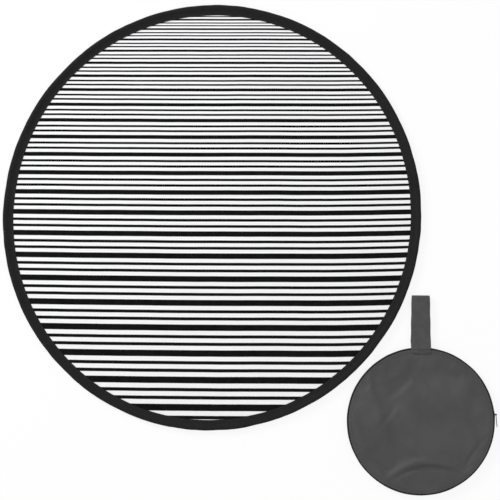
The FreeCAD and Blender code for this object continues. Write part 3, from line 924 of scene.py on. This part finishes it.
def back_height(x, y):
    radius = math.hypot(x, y)
    return NYLON + 0.5 * MM * wander(x, y, 0.3, 4.4) * (1 - radius**4) + 0.35 * MM


back_panel = thicken(slack_disc("pouch_back", back_height))
on_pouch(back_panel, "pouch_nylon", "pouch_back_panel")


def front_top(x, y):
    """Height of the front cloth over a point."""
    return height_over(FRONT_SURFACE, x, y, FRONT_EDGE)


# %% [markdown]
# ## Piping, gusset and zip tapes
# Piping is a cord in a cloth sleeve, caught in the seam. It is a long thin tube round the pouch, with a
# slight unevenness and tiny gathers where the sleeve turns. The edge between front and back is one band:
# closed cloth at the top, and the two tapes of the zip round the rest.

# %% Edge pieces
PIPE_TRACK = POUCH_RADIUS - PIPE_RADIUS
PIPE_THICK = PIPE_RADIUS * 0.94
PIPE_HIGH = (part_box("pouch_front_piping")[0][2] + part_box("pouch_front_piping")[1][2]) / 2
PIPE_STEPS, PIPE_SIDES = 700, 12
BAND_THICK = 0.6 * MM


def piping(name, middle):
    """A closed tube round the pouch, its middle at one height."""
    points, flat = [], []
    for index in range(PIPE_STEPS):
        turn = math.radians(360 * index / PIPE_STEPS)
        sway = 0.3 * MM * noise.noise(Vector((math.cos(turn) * 6, math.sin(turn) * 6, 2.0)))
        pleat = 1 + 0.05 * math.sin(turn * 190) + 0.04 * noise.noise(Vector((turn * 60, 1.0, 0.0)))
        for k in range(PIPE_SIDES):
            around = 2 * math.pi * k / PIPE_SIDES
            out = PIPE_TRACK + sway + PIPE_THICK * pleat * math.cos(around)
            height = middle + PIPE_THICK * pleat * math.sin(around)
            points.append((POUCH.x + out * math.cos(turn), POUCH.y + out * math.sin(turn), height))
            flat.append((turn * PIPE_TRACK, around * PIPE_THICK))
    faces = grid_faces(PIPE_STEPS, PIPE_SIDES, closed_rows=True, closed_columns=True)
    return mesh_object(name, points, faces, flat)


def band(name, low, high, first, last, steps, bulge=0.0):
    """An upright band of cloth round the pouch's edge from one angle to another, a closed shell."""
    points, flat = [], []
    rows = 6
    outline = [(BAND_THICK if k > rows else 0.0, (k if k <= rows else 2 * rows + 1 - k) / rows)
               for k in range(2 * rows + 2)]
    for index in range(steps + 1):
        turn = math.radians(first + (last - first) * index / steps)
        ripple = 0.15 * MM * noise.noise(Vector((turn * 25, 0.0, low * 900)))
        for depth, share in outline:
            belly = math.sin(math.pi * share)
            out = SKIN_RADIUS - depth + bulge * belly + ripple * belly
            height = low + (high - low) * share
            points.append((POUCH.x + out * math.cos(turn), POUCH.y + out * math.sin(turn), height))
            flat.append((turn * SKIN_RADIUS, height + depth * 4))
    faces = grid_faces(steps + 1, len(outline), closed_columns=True)
    faces.append(tuple(range(len(outline))))
    faces.append(tuple(reversed(range(steps * len(outline), (steps + 1) * len(outline)))))
    return mesh_object(name, points, faces, flat)


# The zip runs this many degrees past the pouch's widest points on each side.
END = 10.0
TAPE_GAP = 0.45 * MM
back_pipe = piping("pouch_piping_back", PIPE_RADIUS * 1.03)
on_pouch(back_pipe, "pouch_piping", "pouch_back_piping")
front_pipe = piping("pouch_piping_front", PIPE_HIGH)
on_pouch(front_pipe, "pouch_piping", "pouch_front_piping", "pouch_flap_piping", flap=True)
gusset = band("pouch_gusset_band", NYLON, GUSSET_TOP, END, 180 - END, 160, bulge=0.3 * MM)
on_pouch(gusset, "pouch_nylon", "pouch_gusset")
tape_low = band("zip_tape_low", NYLON, ZIP_MID - TAPE_GAP, 180 - END, 360 + END, 200)
on_pouch(tape_low, "zip_tape", "zip_tape_lower")
tape_high = band("zip_tape_high", ZIP_MID + TAPE_GAP, GUSSET_TOP + 0.2 * MM, 180 - END, 360 + END, 200)
on_pouch(tape_high, "zip_tape", "zip_tape_upper", flap=True)

# %% [markdown]
# ## The zip's coils
# A nylon zip is two coils of wire sewn to the tapes. Closed, the loops of a real one lie between each
# other. Here the two lie side by side, half a loop apart. A helix along the pouch's edge gives each coil,
# and a tube of a few sides is wound along it.

# %% Coils
COIL_PITCH = 1.5 * MM
WIRE = 0.27 * MM
COIL_DEPTH = 0.8 * MM
COIL_HALF = 0.98 * MM
COIL_OFF = 1.25 * MM
PER_LOOP, WIRE_SIDES = 9, 5


def coil(name, sign, phase):
    first, last = math.radians(182 - END), math.radians(358 + END)
    length = (last - first) * SKIN_RADIUS
    loops = int(length / COIL_PITCH)
    centre_out = SKIN_RADIUS + COIL_DEPTH + WIRE * 0.6
    centre_z = ZIP_MID + sign * COIL_OFF
    line = []
    for index in range(loops * PER_LOOP + 1):
        turn = first + (last - first) * index / (loops * PER_LOOP)
        around = 2 * math.pi * (index / PER_LOOP + phase)
        out = centre_out + (COIL_DEPTH - WIRE * 0.4) * math.cos(around)
        height = centre_z + sign * COIL_HALF * math.sin(around)
        line.append(Vector((POUCH.x + out * math.cos(turn), POUCH.y + out * math.sin(turn), height)))
    points, flat = [], []
    for index, point in enumerate(line):
        ahead = (line[min(index + 1, len(line) - 1)] - line[max(index - 1, 0)]).normalized()
        side = ahead.cross(Vector((0, 0, 1))).normalized()
        up = side.cross(ahead)
        for k in range(WIRE_SIDES):
            around = 2 * math.pi * k / WIRE_SIDES
            points.append(point + (side * math.cos(around) + up * math.sin(around)) * WIRE)
            flat.append((index * 0.0003, k * 0.0002))
    return mesh_object(name, points, grid_faces(len(line), WIRE_SIDES, closed_columns=True), flat)


coil_low = coil("zip_coil_low", -1, 0.0)
on_pouch(coil_low, "zip_coil", "zip_coil_lower")
on_pouch(coil("zip_coil_high", 1, 0.5), "zip_coil", "zip_coil_upper", flap=True)
print("coil points:", len(coil_low.data.vertices))

# %% [markdown]
# ## The strap
# One length of webbing is folded into a loop and its tail is sewn over the pouch's edge. A flat section is
# swept along the path of the fold. It narrows a little towards its far end.

# %% Strap
EDGE_Y = POUCH.y + POUCH_RADIUS
loop_low, loop_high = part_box("strap_loop")
HALF_WIDE = (loop_high[0] - loop_low[0]) / 2
WEB = 1.2 * MM
LOOP_RADIUS = (loop_high[2] - loop_low[2]) / 2 - WEB / 2
LOOP_MID = (loop_high[2] + loop_low[2]) / 2
TAIL = 13 * MM
LEVEL = 14 * MM
TAPER_OVER = 98 * MM


def strap_path():
    """The strap's middle line as distance beyond the pouch's edge, and height."""
    far = loop_high[1] - EDGE_Y - LOOP_RADIUS - WEB / 2
    top = LOOP_MID + LOOP_RADIUS
    over = PIPE_HIGH + PIPE_RADIUS + WEB * 0.75
    # The tail lies on the front, climbs over the piping and drops to the loop's own height.
    path = [(-TAIL, front_top(POUCH.x, EDGE_Y - TAIL) + WEB * 0.6), (-TAIL * 0.55, over - 0.1 * MM),
            (-3 * MM, over + 0.15 * MM), (-1.2 * MM, over + 0.1 * MM), (1 * MM, over - 0.5 * MM),
            (3.5 * MM, over - 1.7 * MM), (8 * MM, top + 0.35 * MM), (LEVEL, top)]
    for k in range(1, 13):
        share = k / 12
        path.append((LEVEL + (far - LEVEL) * share, top - 0.7 * MM * math.sin(math.pi * share)))
    for k in range(1, 12):
        turn = math.pi / 2 - math.pi * k / 12
        path.append((far + LOOP_RADIUS * math.cos(turn), LOOP_MID + LOOP_RADIUS * math.sin(turn)))
    for k in range(13):
        share = k / 12
        path.append((far - (far - 3 * MM) * share, LOOP_MID - LOOP_RADIUS + 0.2 * MM))
    return path


def strap():
    path = strap_path()
    points, flat = [], []
    across = [-1.0, -0.985, -0.93, -0.6, -0.3, 0.0, 0.3, 0.6, 0.93, 0.985, 1.0]
    run = 0.0
    for index, (out, height) in enumerate(path):
        before, after = path[max(index - 1, 0)], path[min(index + 1, len(path) - 1)]
        slope = Vector((after[0] - before[0], after[1] - before[1])).normalized()
        normal = Vector((-slope.y, slope.x))
        if index:
            run += math.hypot(out - path[index - 1][0], height - path[index - 1][1])
        wide = HALF_WIDE * (1.0 - 0.1 * max(0.0, out) / TAPER_OVER) + 0.3 * MM * math.sin(out * 170)
        ring = [(s, 1) for s in across] + [(s, -1) for s in reversed(across)]
        for share, face_side in ring:
            edge = 1.0 if abs(share) < 0.95 else (0.75 if abs(share) < 0.99 else 0.35)
            curl = 0.35 * MM * wander(share * 0.02, run, 0.03, 1.9)
            push = normal * (face_side * WEB / 2 * edge + curl)
            points.append((POUCH.x + share * wide, EDGE_Y + out + push.x, height + push.y))
            flat.append((share * wide, run))
    size = 2 * len(across)
    faces = grid_faces(len(path), size, closed_columns=True)
    faces.append(tuple(reversed(range(size))))
    faces.append(tuple(range((len(path) - 1) * size, len(path) * size)))
    return mesh_object("strap", points, faces, flat)


web = strap()
wear_slot(web, "webbing")
WEB_SURFACE = surface_of(web)
rounding = web.modifiers.new("round", "SUBSURF")
rounding.levels = rounding.render_levels = 1
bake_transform(web)
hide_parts("strap_loop", "strap_anchor")
print("strap reaches", round(loop_high[1] - EDGE_Y, 4), "m beyond the pouch")

# %% [markdown]
# ## Sewing on the pouch
# A seam runs just inside the piping, and the tail is held by a box of stitches with a cross in it. Each
# bead is dropped onto the cloth below it, so the seam follows every fold.

# %% Pouch stitches
def sew(name, line, pitch, top, radius):
    """Beads along a list of points (x, y), laid on a surface."""
    points, faces, flat = [], [], []
    for (ax, ay), (bx, by) in zip(line, line[1:]):
        length = math.hypot(bx - ax, by - ay)
        count = max(1, round(length / pitch))
        for k in range(count):
            ends = []
            for share in (k + 0.12, k + 0.84):
                x, y = ax + (bx - ax) * share / count, ay + (by - ay) * share / count
                ends.append((x, y, top(x, y) + radius * 0.3))
            bead(points, faces, flat, ends[0], ends[1], (0, 0, 1), radius)
    thing = mesh_object(name, points, faces, flat)
    return wear_slot(thing, "pouch_nylon", "pouch_thread")


SEAM_RADIUS = SKIN_RADIUS - 5.5 * MM
SEAM_COUNT = 320
turns = [2 * math.pi * k / SEAM_COUNT for k in range(SEAM_COUNT + 1)]
ring_line = [(POUCH.x + SEAM_RADIUS * math.cos(t), POUCH.y + SEAM_RADIUS * math.sin(t)) for t in turns]
opens(sew("pouch_seam", ring_line, 2.9 * MM, front_top, 0.24 * MM))


def web_top(x, y):
    """Height of the strap over a point, or of the front beside it."""
    return height_over(WEB_SURFACE, x, y, front_top(x, y))


inner = HALF_WIDE - 3 * MM
box_high, box_low = EDGE_Y - 3.2 * MM, EDGE_Y - TAIL + 2 * MM
corners = [(POUCH.x - inner, box_low), (POUCH.x + inner, box_low), (POUCH.x + inner, box_high),
           (POUCH.x - inner, box_high), (POUCH.x - inner, box_low), (POUCH.x + inner, box_high)]
for name, line in (("strap_stitches", corners), ("strap_stitches_cross", [corners[1], corners[3]])):
    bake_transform(sew(name, line, 2.4 * MM, web_top, 0.26 * MM))

# %% [markdown]
# ## Floor and light
# The panel lies on a plain white floor. What the camera sees of that floor is mostly a white of its own in
# the floor's material, and not more light. So the object is lit at a level where a colour renders about as
# it is written, and the floor still takes a faint shadow. A soft light low at the upper left gives the
# cloth's waves their shape, and a wide, weak one opposite keeps the shadows open.

# %% Floor, light and camera
FLOOR_WHITE = 0.85
FLOOR_HALF = 12.0
FLOOR_BELOW = 0.0004


def seen_rays(net):
    """1 for rays that come from the camera, from a gloss or through something clear."""
    paths = net.node("LightPath").node.outputs
    either = net.math("MAXIMUM", paths["Is Camera Ray"], paths["Is Glossy Ray"])
    return net.math("MAXIMUM", either, paths["Is Transmission Ray"])


def floor():
    material = bpy.data.materials.new("floor")
    material.use_nodes = True
    net = Net(material.node_tree)
    shader = material.node_tree.nodes["Principled BSDF"]
    grain = net.node("TexNoise", {"Vector": net.node("TexCoord", out=3), "Scale": 3.0, "Detail": 3.0})
    tone = net.fade(grain, 0.3, 0.7, 0.985, 1.0)
    finish_shader(net, shader, scaled(net, grey(0.97), tone), 0.9, Specular_IOR_Level=0.1)
    glow = net.node("Emission", {"Color": grey(1.0), "Strength": 1.0})
    mixed = net.tree.nodes.new("ShaderNodeMixShader")
    net.tree.links.new(net.math("MULTIPLY", seen_rays(net), FLOOR_WHITE), mixed.inputs[0])
    net.tree.links.new(shader.outputs[0], mixed.inputs[1])
    net.tree.links.new(glow, mixed.inputs[2])
    net.tree.links.new(mixed.outputs[0], net.tree.nodes["Material Output"].inputs["Surface"])
    signs = [(-1, -1), (1, -1), (1, 1), (-1, 1)]
    points = [(x * FLOOR_HALF, y * FLOOR_HALF, -FLOOR_BELOW) for x, y in signs]
    thing = mesh_object("floor", points, [(0, 1, 2, 3)])
    thing.data.materials.append(material)


floor()
world = bpy.data.worlds.new("studio")
bpy.context.scene.world = world
world.use_nodes = True
net = Net(world.node_tree)
background = world.node_tree.nodes["Background"]
# The sky lights the object at this strength, and is seen at 1.
SKY = 0.64
net.tree.links.new(net.math("MULTIPLY_ADD", seen_rays(net), 1 - SKY, SKY), background.inputs["Strength"])
background.inputs["Color"].default_value = grey(1.0)


def soft_light(name, place, size, power):
    """A round lamp that faces the middle of the object."""
    data = bpy.data.lights.new(name, "AREA")
    data.shape, data.size, data.energy = "DISK", size, power
    thing = bpy.data.objects.new(name, data)
    thing.location = place
    thing.rotation_euler = (Vector(middle) - Vector(place)).to_track_quat("-Z", "Y").to_euler()
    bpy.context.scene.collection.objects.link(thing)


middle = [(cad_low[k] + cad_high[k]) / 2 for k in range(3)]
soft_light("key", place=(-2.3, 1.9, 1.5), size=1.0, power=80)
soft_light("fill", place=(2.2, -1.6, 2.6), size=2.2, power=14)

camera = bpy.data.objects.new("camera", bpy.data.cameras.new("camera"))
bpy.context.scene.collection.objects.link(camera)
bpy.context.scene.camera = camera
DISTANCE = 3.2
MARGIN = 1.012
SHOWN = MARGIN * max(cad_high[0] - cad_low[0], cad_high[1] - cad_low[1])
camera.data.lens = camera.data.sensor_width * DISTANCE / SHOWN
camera.location = (middle[0], middle[1], DISTANCE)
bpy.context.scene.view_settings.view_transform = "Standard"
print("camera shows", round(SHOWN, 3), "m")
